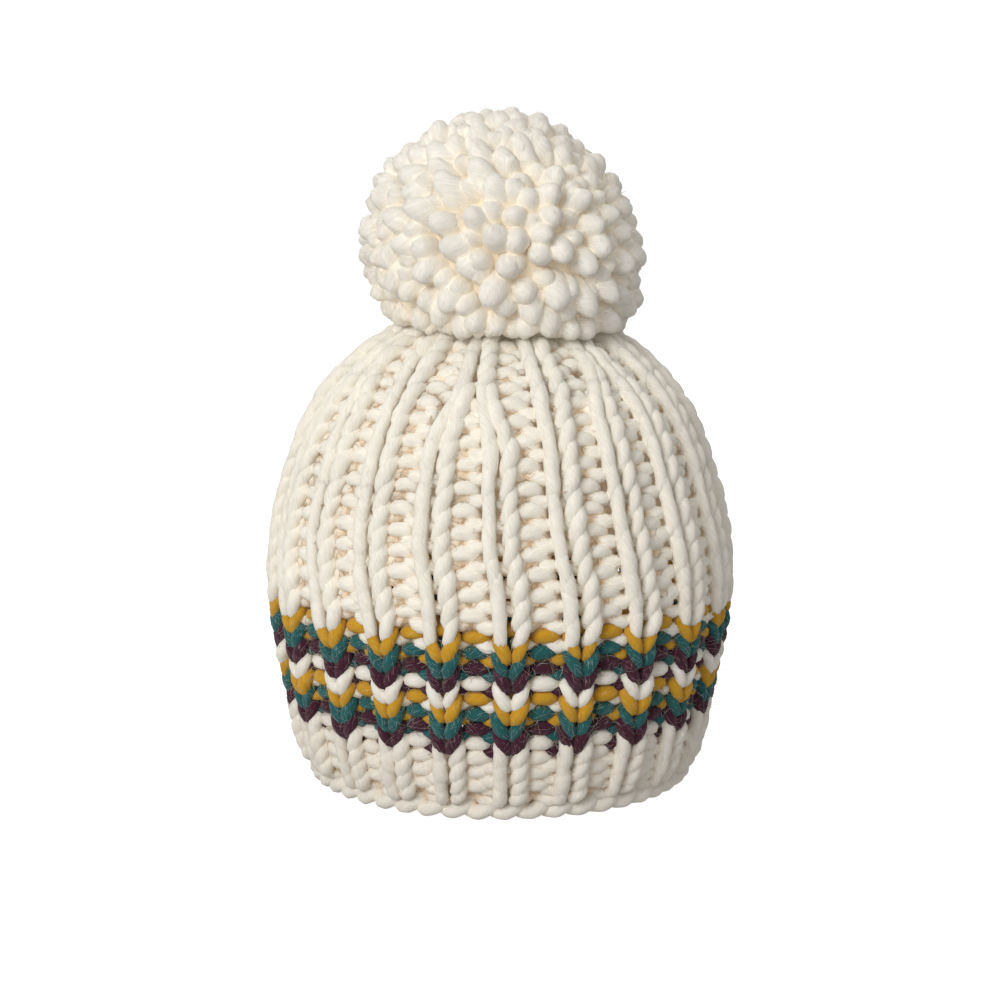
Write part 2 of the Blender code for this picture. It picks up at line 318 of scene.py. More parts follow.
class Made:
    """A node that was made, whose outputs are read by name."""

    def __init__(self, tree, node):
        self.tree, self.made = tree, node

    def __getitem__(self, output):
        return Wire(self.tree, self.made.outputs[output])


class Shader:
    def __init__(self, tree):
        self.tree = tree

    def node(self, kind, settings=None, sockets=None):
        made = self.tree.nodes.new(kind)
        for name, value in (settings or {}).items():
            setattr(made, name, value)
        pairs = sockets.items() if isinstance(sockets, dict) else enumerate(sockets or [])
        for name, value in pairs:
            self.feed(made.inputs[name], value)
        return Made(self.tree, made)

    def feed(self, socket, value):
        if isinstance(value, Wire):
            self.tree.links.new(value.socket, socket)
        else:
            socket.default_value = value

    def mix(self, share, first, second):
        """Blends two colours by a share."""
        mixer = self.tree.nodes.new("ShaderNodeMix")
        mixer.data_type = "RGBA"
        for index, value in ((0, share), (6, first), (7, second)):
            self.feed(mixer.inputs[index], value)
        return Wire(self.tree, mixer.outputs[2])


def new_material(name):
    """A material with its tree and its Principled shader."""
    material = bpy.data.materials.new(name)
    material.use_nodes = True
    return material, Shader(material.node_tree), material.node_tree.nodes["Principled BSDF"]


# %% [markdown]
# ## Wool
# Single-ply wool is matt and soft. Its fibres run along the yarn with a slight twist, light soaks a
# little way in, and the hollows between stitches look warmer and darker than the crowns. We paint
# the fibres with noise that is stretched along the yarn, wrapped round it so that no seam shows, and
# use the stored depth to paint shade into the colour: where the yarn lies deep, in the hollows and on
# the fabric's inner side, it turns to a darker tint. A sheen gives the soft rim of loose fibres. Pale
# wool also passes light on from yarn to yarn, more than the renderer's few bounces show, so its
# hollows are given a faint painted glow of their own.

# %% The wool material
FIBRE_LENGTH = 5.0 * MM
TWIST = 260.0  # radians of twist for each metre of yarn


def wool(name, colour, hollow_shade, pale, unshaded_at=2.6, deep_at=0.3, pale_amount=0.0, soak=0.12,
         bump=0.75, glow=0.0, soak_depth=4 * MM):
    """colour is the crown of a stitch, hollow a painted shade: the darker tint given where the yarn lies
    deep, between stitches and on the fabric's inner side. pale is the odd light fibre.

    deep_at and unshaded_at are depths in mm: the painted shade is full below the first and gone above
    the second.
    """
    material, shader, surface = new_material(name)
    yarn_map = shader.node("ShaderNodeUVMap", {"uv_map": "yarn"})["UV"]
    split = shader.node("ShaderNodeSeparateXYZ", None, [yarn_map])
    along, turn = split["X"], split["Y"] * (2 * math.pi) + split["X"] * TWIST
    round_x, round_y = turn.function("COSINE"), turn.function("SINE")

    def fibres(length, fineness, detail):
        place = shader.node(
            "ShaderNodeCombineXYZ", None,
            [along / length, round_x * fineness, round_y * fineness],
        )["Vector"]
        return shader.node(
            "ShaderNodeTexNoise", None,
            {"Vector": place, "Scale": 1.0, "Detail": detail, "Roughness": 0.6},
        )["Fac"]

    strands = fibres(FIBRE_LENGTH, 5.0, 3.0)
    patches = fibres(14 * MM, 0.7, 1.0)
    stand = shader.node("ShaderNodeAttribute", {"attribute_name": "stand"})["Fac"]
    # Painted shade: the colour turns to the darker tint where the yarn lies deep, and a little between
    # fibres.
    hollow_shade_mask = 1 - stand.step(deep_at, unshaded_at)
    between_fibres = strands.step(0.62, 0.35)
    tint = shader.mix(hollow_shade_mask * 0.85 + between_fibres * 0.1, (*colour, 1), (*hollow_shade, 1))
    if pale_amount:
        hairs = fibres(2.2 * MM, 7.0, 1.0).step(0.61, 0.68)
        tint = shader.mix(hairs * pale_amount, tint, (*pale, 1))
    light = 0.80 + strands * 0.34 + patches * 0.08
    shaded = shader.node("ShaderNodeVectorMath", {"operation": "SCALE"}, {"Vector": tint, "Scale": light})
    shader.feed(surface.inputs["Base Color"], shaded["Vector"])
    shader.feed(surface.inputs["Roughness"], 0.78 + strands * 0.2)
    surface.inputs["Sheen Weight"].default_value = 0.25
    surface.inputs["Sheen Roughness"].default_value = 0.6
    surface.inputs["Sheen Tint"].default_value = (*pale, 1)
    surface.inputs["Specular IOR Level"].default_value = 0.15
    surface.subsurface_method = "BURLEY"
    surface.inputs["Subsurface Weight"].default_value = soak
    surface.inputs["Subsurface Radius"].default_value = (1.0, 0.88, 0.72)
    surface.inputs["Subsurface Scale"].default_value = soak_depth
    if glow:
        # Painted glow: the hollows give out their tint as light, for light that soaks through the yarn.
        painted_glow = shader.mix(hollow_shade_mask, (0, 0, 0, 1), (*hollow_shade, 1))
        shader.feed(surface.inputs["Emission Color"], painted_glow)
        surface.inputs["Emission Strength"].default_value = glow
    bumped = shader.node(
        "ShaderNodeBump", None,
        {"Height": strands + fibres(1.6 * MM, 8.0, 2.0) * 0.5, "Strength": bump, "Distance": 0.6 * MM},
    )
    shader.feed(surface.inputs["Normal"], bumped["Normal"])
    return material


CREAM = (0.865, 0.825, 0.738)
CREAM_HAIR = (0.95, 0.92, 0.85)
HEM_PAINTED_SHADE = 0.945  # painted shade: the hem is made darker and greyer, as it gets less light
HEM_CREAM = tuple(HEM_PAINTED_SHADE * part for part in (0.84, 0.785, 0.70))
# Each wool has its crown colour, then a darker tint painted into its hollows as shade, then its pale fibres.
WOOLS = {
    "hem": wool("hem_wool", HEM_CREAM, (0.72, 0.59, 0.44), CREAM_HAIR, soak=0.45, glow=0.07),
    "cream": wool("cream_wool", CREAM, (0.76, 0.635, 0.48), CREAM_HAIR, soak=0.45, glow=0.09),
    "gold": wool("gold_wool", (0.56, 0.29, 0.015), (0.40, 0.19, 0.012), (0.9, 0.7, 0.35),
                 pale_amount=0.3),
    "teal": wool("teal_wool", (0.011, 0.095, 0.098), (0.006, 0.05, 0.055), (0.45, 0.6, 0.56),
                 pale_amount=0.35),
    "plum": wool("plum_wool", (0.050, 0.008, 0.022), (0.02, 0.004, 0.01), (0.5, 0.4, 0.4),
                 pale_amount=0.3),
}
print("wools:", ", ".join(WOOLS))

# %% [markdown]
# ## The path of one rib's stitches
# A stitch is a loop pulled through the loop below it. On a knit stitch both legs lie in front and
# make a V; on a purl stitch the legs lie behind and the head of the loop shows as a bump. The table
# follows the yarn from one knit stitch, past its V, through a purl stitch to the next. We keep two
# ways of knitting it: an even one, as in the stripes, and a skewed one, as in the plain ribbing,
# where the left legs stand in a straight cord and the right legs slant over one another.

# %% The stitch table
STITCH_POINTS = np.array([
    # across in stitches from the knit's middle, up in courses from the head, out in rib rises
    # even: across, up, out      skewed: across, up, out     fullness
    (-0.34, -1.48, 0.02, -0.48, -1.56, 0.02, 0.95),
    (-0.20, -1.44, 0.42, -0.36, -1.50, 0.45, 0.95),
    (-0.15, -1.16, 0.92, -0.315, -1.24, 0.92, 1.00),
    (-0.22, -0.76, 1.05, -0.305, -0.80, 1.00, 1.03),
    (-0.32, -0.34, 0.95, -0.30, -0.34, 1.00, 1.02),
    (-0.37, 0.00, 0.45, -0.305, 0.04, 0.86, 0.98),
    (-0.25, 0.22, -0.05, -0.26, 0.32, 0.25, 1.00),
    (0.00, 0.28, -0.15, -0.02, 0.36, -0.12, 1.12),
    (0.25, 0.22, -0.05, 0.23, 0.25, 0.00, 1.00),
    (0.37, 0.00, 0.45, 0.37, 0.05, 0.45, 0.95),
    (0.32, -0.34, 0.95, 0.385, -0.27, 0.92, 1.05),
    (0.22, -0.76, 1.05, 0.31, -0.70, 1.08, 1.08),
    (0.15, -1.16, 0.92, 0.21, -1.12, 0.95, 1.00),
    (0.20, -1.44, 0.42, 0.18, -1.42, 0.45, 0.92),
    (0.36, -1.48, 0.02, 0.34, -1.50, 0.02, 0.92),
    (0.56, -1.45, -0.12, 0.56, -1.48, -0.12, 0.92),
    (0.74, -1.30, -0.62, 0.74, -1.32, -0.62, 1.00),
    (0.78, -0.90, -1.00, 0.76, -0.92, -1.00, 1.08),
    (0.68, -0.42, -0.90, 0.64, -0.42, -0.90, 1.06),
    (0.66, -0.10, -0.35, 0.60, -0.10, -0.35, 0.95),
    (0.82, 0.03, 0.10, 0.74, 0.03, 0.10, 1.14),
    (1.00, 0.06, 0.18, 0.93, 0.08, 0.20, 1.18),
    (1.18, 0.03, 0.12, 1.11, 0.04, 0.14, 1.14),
    (1.34, -0.08, -0.30, 1.27, -0.08, -0.25, 0.95),
    (1.33, -0.38, -0.90, 1.27, -0.38, -0.90, 1.06),
    (1.20, -0.90, -1.00, 1.10, -0.92, -1.00, 1.08),
    (1.16, -1.28, -0.62, 1.04, -1.32, -0.60, 1.00),
    (1.28, -1.46, -0.08, 1.16, -1.50, -0.02, 1.08),
    (1.42, -1.50, 0.02, 1.34, -1.56, 0.12, 1.16),
    (1.55, -1.50, 0.02, 1.46, -1.57, 0.10, 1.10),
])
RIB_LINE = 4.4 * MM  # from the middle of the wall to the centre of the yarn on a rib's crest
FLAT_NEAR = 40 * MM  # the ribs flatten out inside this radius

# %% [markdown]
# ## Courses
# A course is one round of knitting. Each has the height of its heads along the wall, the thickness
# of its yarn, how skewed it is and its wool. The stripes sit closer together than the body, because
# thinner yarn makes shorter stitches.

# %% The courses from the rim to the gather
COURSES = [
    # piece, wool, thickness (mm), skew, groups that have merged, heads along the wall (mm)
    ("hem", "hem", 5.9, 1.0, "none", [12.0, 18.3, 24.9, 31.6]),
    ("plum_lower_stripe", "plum", 5.3, 0.0, "none", [38.3]),
    ("teal_lower_stripe", "teal", 5.3, 0.0, "none", [45.1]),
    ("gold_lower_stripe", "gold", 5.3, 0.0, "none", [51.8]),
    ("cream_middle_stripe", "cream", 5.6, 0.0, "none", [58.6]),
    ("plum_upper_stripe", "plum", 5.3, 0.0, "none", [65.4]),
    ("teal_upper_stripe", "teal", 5.3, 0.0, "none", [72.2]),
    ("gold_upper_stripe", "gold", 5.3, 0.0, "none", [79.0]),
    ("body", "cream", 5.8, 1.0, "none", [88.0, 96.2, 104.4, 112.6, 121.2, 130.2, 139.6]),
    ("crown_ribs", "cream", 5.9, 1.0, "none", [149.2, 158.6, 167.6, 175.9, 183.8]),
    ("crown_front_merge", "cream", 5.9, 1.0, "front", [192.0, 200.6]),
    ("crown_top", "cream", 6.0, 1.0, "all", [209.2, 217.6, 225.6, 233.0, 239.5]),
]
MERGED = {
    "none": [False] * RIB_GROUPS,
    "front": [True] + [False] * (RIB_GROUPS - 1),
    "all": [True] * RIB_GROUPS,
}
EDGE_HEAD = 7.2 * MM
BEFORE, AFTER = 6.2 * MM, 6 * MM  # the steps of two more heads before the edge's and after the last
heads = np.array([EDGE_HEAD, *(MM * head for course in COURSES for head in course[-1])])
heads = np.concatenate([
    heads[0] - BEFORE * np.array([2, 1]), heads, heads[-1] + AFTER * np.array([1, 2]),
])
FIRST_COURSE = 3  # the first knitted course's place in the list of heads
SAMPLES_PER_RIB = 44
stitches = sum(len(own) * 2 * (RIBS - sum(MERGED[merged])) for *_, merged, own in COURSES)
print(f"{len(heads) - FIRST_COURSE - 2} courses, {stitches} stitches")


def knit_course(index, skew, merged_groups, loose, chance):
    """The centreline of one whole course: its places on the wall, and how deep each lies."""
    ribs = RIBS - sum(merged_groups)
    even, skewed, fullness = STITCH_POINTS[:, :3], STITCH_POINTS[:, 3:6], STITCH_POINTS[:, 6:]
    pattern = np.hstack([even + (skewed - even) * skew, fullness])
    count = len(pattern)
    knots = np.tile(pattern, (ribs, 1, 1))
    knots += chance.normal(0, 1, (ribs, 1, 4)) * loose
    knots += chance.normal(0, 1, (ribs, count, 4)) * loose * 0.45
    knots[:, :, 0] += 2 * np.arange(ribs)[:, None]
    knots = knots.reshape(-1, 4)
    # Close the round: the knots on either side of the join lie one whole turn away.
    turn = np.array([2.0 * ribs, 0, 0, 0])
    ring = np.concatenate([knots[-1:] - turn, knots, knots[:2] + turn])
    where = np.arange(ribs * SAMPLES_PER_RIB) * count / SAMPLES_PER_RIB
    start = where.astype(int)
    t = (where - start)[:, None]
    p0, p1, p2, p3 = (ring[start + k] for k in range(4))
    curve = (2 * p1 + (p2 - p0) * t + (2 * p0 - 5 * p1 + 4 * p2 - p3) * t**2
             + (3 * p1 - p0 - 3 * p2 + p3) * t**3) / 2
    across, up, out, full = curve.T
    arc = np.interp(index + up, np.arange(len(heads)), heads)
    radius = np.interp(arc, wall_arc, wall[:, 0])
    depth = out * RIB_LINE * smooth_step(0.1 + radius / FLAT_NEAR)
    point, outward = on_wall(arc, rib_turn(across / 2, arc, merged_groups), depth)
    return point, outward, depth, full


# %% [markdown]
# ## Knitting the hat
# We knit each piece of the hat course by course. Hand knitting is never perfect, so every stitch is
# nudged by a small seeded chance, and the yarn swells and thins a little along its length. The
# courses of one piece share a mesh.

# %% Knit every course
LOOSENESS = 0.022  # in stitches and courses
SWELL, SWELL_ROUNDS = 0.25, 24  # how much the yarn swells, and how often that is smoothed
YARN_SIDES, YARN_LUMPS = 8, 0.05
course_at = FIRST_COURSE
YARNS = {}
COURSE_NUMBERS = {}
for name, colour, thickness, skew, merged, own_heads in COURSES:
    chance = np.random.default_rng(1000 + course_at)
    COURSE_NUMBERS[name] = [course_at + k for k in range(len(own_heads))], MERGED[merged]
    courses = [
        knit_course(course_at + k, skew, MERGED[merged], LOOSENESS, chance)
        for k in range(len(own_heads))
    ]
    course_at += len(own_heads)
    path, outward, depth, full = (np.stack(column) for column in zip(*courses))
    swell = chance.normal(size=path.shape[:2])
    for _ in range(SWELL_ROUNDS):
        swell = (np.roll(swell, 1, 1) + swell + np.roll(swell, -1, 1)) / 3
    radius = thickness * MM / 2 * full * (1 + SWELL * swell)
    piece = spin(name + "_yarn", path, radius, True, YARN_SIDES, outward, depth, YARN_LUMPS, course_at)
    dress(piece, ["crown" if name.startswith("crown") else name], WOOLS[colour])
    YARNS[name] = path, radius, outward, depth

# %% [markdown]
# ## The cast-on edge
# Knitting starts from a twisted edge: the yarn winds over and over itself, once for each stitch, and
# makes a rope along the rim. We coil one yarn round the rim's centreline. In front it travels far
# while it climbs, which gives the plump slanting turns, and behind it hurries back.

# %% Wind the edge
EDGE_TURNS = 47
EDGE_YARN = 6.8 * MM
EDGE_COIL = 2.0 * MM
EDGE_HURRY = 0.17  # how unevenly the yarn travels round the rim, in turns of the coil
EDGE_FLATTER, EDGE_FOOT = 0.9, 0.98  # the coil's height to its width, and how far its foot is pressed
SAMPLES_PER_TURN = 26
steps = np.arange(EDGE_TURNS * SAMPLES_PER_TURN) / SAMPLES_PER_TURN
phase = 2 * math.pi * steps - math.pi / 2
edge_across = steps + EDGE_HURRY * np.sin(phase)
edge_arc = EDGE_COIL * np.sin(phase) * EDGE_FLATTER
edge_out = EDGE_COIL * np.cos(phase)
edge_path, edge_outward = on_wall(
    np.zeros_like(steps), FIRST_RIB + edge_across * 2 * math.pi / EDGE_TURNS, edge_out
)
edge_path[:, 2] = np.maximum(edge_path[:, 2] + edge_arc, EDGE_YARN / 2 * EDGE_FOOT)
edge_radius = np.full((1, len(steps)), EDGE_YARN / 2)
edge = spin("cast_on_edge_yarn", edge_path[None], edge_radius, True, YARN_SIDES, edge_outward[None],
            edge_out[None], YARN_LUMPS, 7)
dress(edge, ["cast_on_edge"], WOOLS["hem"])

# %% [markdown]
# ## The pompom
# A pompom is a tight bundle of cut yarn, tied in the middle, whose ends spring out into a ball. Each
# strand here is a plump tube from the core to its own tip. We could scatter the tips by chance, but
# then some would sit inside one another. So they are spread evenly over a ball first.

# %% Spread the strands' tips
POMPOM_RADIUS = 66.5 * MM
POMPOM_CENTRE = np.array([0.6 * MM, 0, CROWN_HEIGHT + 28.8 * MM])
STRANDS = 315
TIP_LENGTH = 1.9  # in radii of the strand
FLAT_SIDE = unit(np.array([0.75, -0.1, 0.66]))
TUCKED_SIDE = unit(np.array([-0.78, -0.15, -0.61]))
PARTING = unit(np.array([-0.08, -0.97, 0.20]))  # the strands lie down away from this place
WAVES = 12
TIP_SPACING = 0.172  # radians between neighbouring tips
PUSHES = 9
WIDEST_GAP = 0.124  # radians from anywhere on the ball to the nearest tip
LOWEST_ROOT, LOWEST_FILLER = -0.63, -0.62  # heights on a ball of radius 1


def crown_top_at(radius):
    """How high the crown's ribs reach at a distance from the axis."""
    out = (2.9 + 4.6 * smooth_step(wall[:, 0] / FLAT_NEAR)) * MM
    skin = wall + out[:, None] * wall_out
    upper = skin[np.argmax(skin[:, 0]):]
    return np.interp(radius, upper[::-1, 0], upper[::-1, 1], right=-1.0)


def even_directions(count, spread, chance):
    """Directions spread evenly over a ball by the golden angle, then loosened."""
    k = np.arange(count)
    height = 1 - 2 * (k + 0.5) / count
    turn = k * math.pi * (3 - math.sqrt(5))
    wide = np.sqrt(1 - height**2)
    aim = np.stack([wide * np.cos(turn), wide * np.sin(turn), height], 1)
    return unit(aim + chance.normal(0, spread, (count, 3)))


def pushed_apart(aim, spacing, rounds):
    """Tips that stand too close push each other away over the ball."""
    for _ in range(rounds):
        gap = aim[:, None] - aim[None]
        far = np.linalg.norm(gap, axis=-1) + 9 * np.eye(len(aim))
        push = np.clip(spacing - far, 0, None) / far * 0.35
        aim = unit(aim + (gap * push[..., None]).sum(1))
    return aim


def ball_reach(aim):
    """How far the ball's surface is from its centre: flat at the upper right, tucked in at the lower left."""
    flat = np.clip(aim @ FLAT_SIDE, 0, 1) ** 3
    tucked = np.clip(aim @ TUCKED_SIDE, 0, 1) ** 4
    return POMPOM_RADIUS * (1 - 0.06 * flat - 0.13 * tucked + 0.02 * np.clip(aim[:, 2], 0, 1) ** 2)


# %% [markdown]
# ## How the strands lie
# Neighbours bend much the same way, as they do when a pompom has been carried in a bag: they lie
# down away from a parting at the front, hang below it, and sag. More strands are then put in
# wherever the tufts have left a gap, and those at the bottom are laid on the crown so that none
# passes through it. A lumpy core closes the deepest gaps.

# %% Lay the strands
def leaned(root, chance):
    """The tips' directions, once the strands have leaned over in tufts."""
    # A few waves in all directions over the ball make a soft, random wind.
    wave = chance.normal(0, 3.6, (WAVES, 3))
    swing = chance.normal(0, 1, (WAVES, 3))
    field = np.cos(root @ wave.T + chance.uniform(0, 6, WAVES)) @ swing / 2.8
    front = smooth_step((root @ PARTING + 0.6) / 1.0)[:, None]
    hanging = front * smooth_step((PARTING[2] - root[:, 2:]) / 0.4)
    lean = (0.7 * field * (1 - 0.6 * hanging) + 0.9 * front * (1 + 0.5 * hanging) * (root - PARTING)
            + [0, 0, -0.35] * (1 - root[:, 2:]))
    lean = carry(lean, root) * np.minimum(np.linalg.norm(lean, axis=1, keepdims=True), 1.4)
    aim = unit(root + 0.24 * lean + chance.normal(0, 0.05, root.shape))
    return pushed_apart(aim, TIP_SPACING, PUSHES)


def gap_fillers(aim, widest, chance):
    """Directions of more strands, one in each gap between tips that is wider than allowed."""
    places = even_directions(5000, 0.0, chance)
    places = places[places[:, 2] > LOWEST_FILLER]
    nearness = (places @ aim.T).max(1)
    fillers = []
    while nearness.min() < math.cos(widest):
        filler = places[np.argmin(nearness)]
        fillers.append(filler)
        nearness = np.maximum(nearness, places @ filler)
    print(f"{len(fillers)} strands fill the gaps between tufts")
    return np.array(fillers)


# %% Turn the directions into strands
RINGS_AT = np.array([
    0, 0.16, 0.32, 0.46, 0.58, 0.68, 0.76, 0.83, 0.885, 0.925, 0.955, 0.98, 0.995, 1.0,
])
LOW_END, KNEE = 0.42, 0.90  # where a strand starts and where it bends, as shares of the ball
LOWER_WHEN_BENT = 0.20
CROWN_TOUCH = 0.8  # the part of its radius that a strand keeps above the crown


def pompom_strands():
    """The centrelines of all strands and their radii: each is a curve from the core over a knee."""
    chance = np.random.default_rng(88)
    root = even_directions(STRANDS, 0.03, chance)
    root = root[root[:, 2] > LOWEST_ROOT]
    aim = leaned(root, chance)
    share = chance.uniform(0.96, 1.01, (len(aim), 1))
    filler = gap_fillers(aim, WIDEST_GAP, chance)
    root = np.concatenate([root, filler])
    aim = np.concatenate([aim, unit(filler + chance.normal(0, 0.03, filler.shape))])
    share = np.concatenate([share, chance.uniform(0.90, 0.97, (len(filler), 1))])
    count = len(root)
    radius = chance.uniform(5.5, 6.8, (count, 1)) * MM
    # A strand that lies over stands out by its own thickness, so it ends a little lower.
    bent = np.linalg.norm(aim - root, axis=1, keepdims=True)
    reach = ball_reach(aim)[:, None] * share * (1 - LOWER_WHEN_BENT * bent)
    t = RINGS_AT[None, :, None]
    low, knee, tip = LOW_END * POMPOM_RADIUS * root, KNEE * reach * root, reach * aim
    away = (1 - t)**2 * low[:, None] + 2 * t * (1 - t) * knee[:, None] + t**2 * tip[:, None]
    steps = np.linalg.norm(np.diff(away, axis=1), axis=2)
    left = np.cumsum(steps[:, ::-1], axis=1)[:, ::-1]
    left = np.concatenate([left, np.zeros((count, 1))], 1)
    # A tip is a long half-egg: it narrows over TIP_LENGTH radii.
    cap = np.clip(1 - left / (TIP_LENGTH * radius), 0, 1)
    thick = radius * np.sqrt(np.clip(1 - cap**2, 0.004, 1))
    path = POMPOM_CENTRE + away
    floor = crown_top_at(np.hypot(path[..., 0], path[..., 1])) + thick * CROWN_TOUCH
    path[..., 2] = np.maximum(path[..., 2], floor)
    return path, thick


strand_path, strand_radius = pompom_strands()
print(f"{len(strand_path)} strands in the pompom")
strand_out = strand_path - POMPOM_CENTRE
strand_far = np.linalg.norm(strand_out, axis=-1)
strand_out = strand_out / strand_far[..., None]
POMPOM_HAIR = (0.97, 0.95, 0.9)
# Painted shade: strands turn darker and warmer the deeper they lie in the ball, with a faint painted glow.
pompom_wool = wool("pompom_wool", (0.84, 0.805, 0.735), (0.83, 0.765, 0.655), POMPOM_HAIR,
                   unshaded_at=16.0, deep_at=7.0, soak=1.0, bump=0.9, glow=0.03, soak_depth=3.5 * MM)
INNER_DEPTH = 20 * MM  # the stored depth counts from this far inside the ball
strand_depth = strand_far - POMPOM_RADIUS + INNER_DEPTH
pompom = spin("pompom_strands", strand_path, strand_radius, False, 10, strand_out, strand_depth, 0.14, 5)
dress(pompom, ["pompom"], pompom_wool)
YARNS["pompom"] = strand_path, strand_radius, strand_out, strand_depth

# %% The core
CORE_SHARE = 0.80
core_mesh = bpy.data.meshes.new("pompom_core")
core_form = bmesh.new()
bmesh.ops.create_icosphere(core_form, subdivisions=4, radius=1)
for vert in core_form.verts:
    lump = 0.025 * math.sin(13 * vert.co.x) * math.sin(12 * vert.co.y + 1) * math.sin(14 * vert.co.z + 2)
    place = Vector(POMPOM_CENTRE) + vert.co * POMPOM_RADIUS * (CORE_SHARE + lump)
    under = float(crown_top_at(math.hypot(place.x, place.y)))
    vert.co = (place.x, place.y, max(place.z, under + 1 * MM))
core_form.to_mesh(core_mesh)
core_form.free()
core_mesh.shade_smooth()
core = bpy.data.objects.new("pompom_core", core_mesh)
bpy.context.scene.collection.objects.link(core)
# The core is painted in the tan of the pompom's shaded depths, as painted shade, and given a faint painted
# glow.
CORE_PAINTED_SHADE = (0.84, 0.72, 0.53)
core_wool = wool("pompom_core_wool", CORE_PAINTED_SHADE, CORE_PAINTED_SHADE, POMPOM_HAIR, soak=0.0, glow=0.08)
dress(core, ["pompom"], core_wool)

# %% [markdown]
# ## The knot inside
# The pompom's tie comes down through the gather and is knotted inside the hat, where only someone
# who looks into the hat sees it. A knot of the same yarn stands for it: a trefoil is the simplest
# closed curve that is really knotted.

# %% The knot under the gather
KNOT_CENTRE = 190.6 * MM
KNOT_SAMPLES = 72
KNOT_WIDTH, KNOT_HEIGHT, KNOT_YARN = 1.35 * MM, 2.3 * MM, 2.1 * MM
t = np.linspace(0, 2 * math.pi, KNOT_SAMPLES, endpoint=False)
knot_path = np.stack([
    (np.sin(t) + 2 * np.sin(2 * t)) * KNOT_WIDTH,
    (np.cos(t) - 2 * np.cos(2 * t)) * KNOT_WIDTH,
    KNOT_CENTRE - np.sin(3 * t) * KNOT_HEIGHT,
], 1)[None]
knot = spin("tie_knot", knot_path, np.full((1, KNOT_SAMPLES), KNOT_YARN), True, YARN_SIDES,
            unit(knot_path - [0, 0, KNOT_CENTRE]), np.full((1, KNOT_SAMPLES), 4 * MM))
dress(knot, ["pompom_tie"], WOOLS["cream"])

# %% [markdown]
# ## Stray fibres
# Wool is hairy: fine fibres stand out of every yarn and soften the outline. Blender's hair curves
# could be used, but plain thin tubes export as they are. Each leaves the yarn's skin, hops over it
# and curls. They are grown where a seeded chance picks a place on the outer side of the yarn.

# %% Grow the stray fibres
FIBRE_POINTS = 4
FIBRE_THICKNESS = 0.12 * MM


def stray_fibres(name, source, count, length, rise, seed):
    """Fibres that leave the outer side of the yarn and hop over it."""
    path, radius, outward, depth = source
    chance = np.random.default_rng(seed)
    strands, points = radius.shape
    strand = chance.integers(0, strands, count * 3)
    at = chance.integers(1, points - 1, count * 3)
    chosen = np.flatnonzero(depth[strand, at] > -1.5 * MM)[:count]
    strand, at = strand[chosen], at[chosen]
    count = len(chosen)
    along = unit(path[strand, at + 1] - path[strand, at - 1])
    away = carry(outward[strand, at] + 0.7 * chance.normal(size=(count, 3)), along)
    heading = unit(along * chance.normal(0, 1.3, (count, 1)) + chance.normal(0, 0.7, (count, 3)))
    root = path[strand, at] + away * radius[strand, at][:, None] * 0.93
    curl = chance.normal(0, 0.5, (count, 3))
    size = length * chance.uniform(0.4, 1.3, (count, 1))
    hop = rise * chance.uniform(0.3, 1.2, (count, 1))
    t = np.linspace(0, 1, FIBRE_POINTS)[None, :, None]
    fibre = (root[:, None] + (heading * size)[:, None] * t + (curl * size)[:, None] * t**2
             + (away * hop)[:, None] * np.sin(math.pi * t * 0.85))
    fibre[..., 2] = np.maximum(fibre[..., 2], FIBRE_THICKNESS)
    thick = FIBRE_THICKNESS / 2 * chance.uniform(0.6, 1.2, (count, 1)) * np.linspace(1, 0.5, FIBRE_POINTS)
    facing = np.repeat(away[:, None], FIBRE_POINTS, 1)
    return spin(name, fibre, thick, False, 3, facing, np.full(thick.shape, 4 * MM))


# %% [markdown]
# ## Fibres in the gaps
# In the real hat one sees no clean holes between the stitches, because fibres cross them from yarn
# to yarn. We know where a stitch has its gaps, since all stitches follow one table, so we list four
# places of one stitch and lay a few short fibres across each of them, all round the hat.

# %% Lay fibres across the gaps
WEB_THICKNESS = 0.20 * MM
WEB_LENGTH = 4.6 * MM
NARROWEST = 8 * MM  # nearer the axis than this, a step round the hat isn't made any wider
GAPS = np.array([
    # across in stitches from the knit's middle, up in courses from the head, out (mm)
    (0.02, -0.35, 4.2), (0.70, -0.62, 2.0), (1.44, -0.95, 2.4), (0.98, -0.45, 1.6),
])


def gap_webs(name, each, length, seed):
    """Fibres that cross the gaps of every stitch from yarn to yarn, at any slant."""
    numbers, merged_groups = COURSE_NUMBERS[name]
    chance = np.random.default_rng(seed)
    ribs = RIBS - sum(merged_groups)
    course, rib, gap, _ = (grid.ravel() for grid in np.meshgrid(
        numbers, np.arange(ribs), np.arange(len(GAPS)), np.arange(each), indexing="ij"))
    count = len(course)
    across = 2 * rib + GAPS[gap, 0] + chance.normal(0, 0.10, count)
    up = GAPS[gap, 1] + chance.normal(0, 0.22, count)
    out = GAPS[gap, 2] * MM + chance.normal(0, 0.7 * MM, count)
    slant = chance.uniform(0, math.pi, count)
    size = length / 2 * chance.uniform(0.7, 1.3, count)
    bow = chance.normal(0, 0.35, count)
    t = np.linspace(-1, 1, FIBRE_POINTS)
    sideways = size[:, None] * (np.cos(slant)[:, None] * t + (np.sin(slant) * bow)[:, None] * (1 - t**2))
    upward = size[:, None] * (np.sin(slant)[:, None] * t - (np.cos(slant) * bow)[:, None] * (1 - t**2))
    arc = np.interp(course + up, np.arange(len(heads)), heads)
    turn = rib_turn(across / 2, arc, merged_groups)
    radius = np.maximum(np.interp(arc, wall_arc, wall[:, 0]), NARROWEST)
    fibre, facing = on_wall(arc[:, None] + upward, turn[:, None] + sideways / radius[:, None],
                            np.repeat(out[:, None], FIBRE_POINTS, 1))
    fibre[..., 2] = np.maximum(fibre[..., 2], WEB_THICKNESS)
    thick = WEB_THICKNESS / 2 * chance.uniform(0.6, 1.3, (count, 1)) * np.ones(FIBRE_POINTS)
    return spin(name + "_gap_fibres", fibre, thick, False, 3, facing, np.full(thick.shape, 4 * MM))


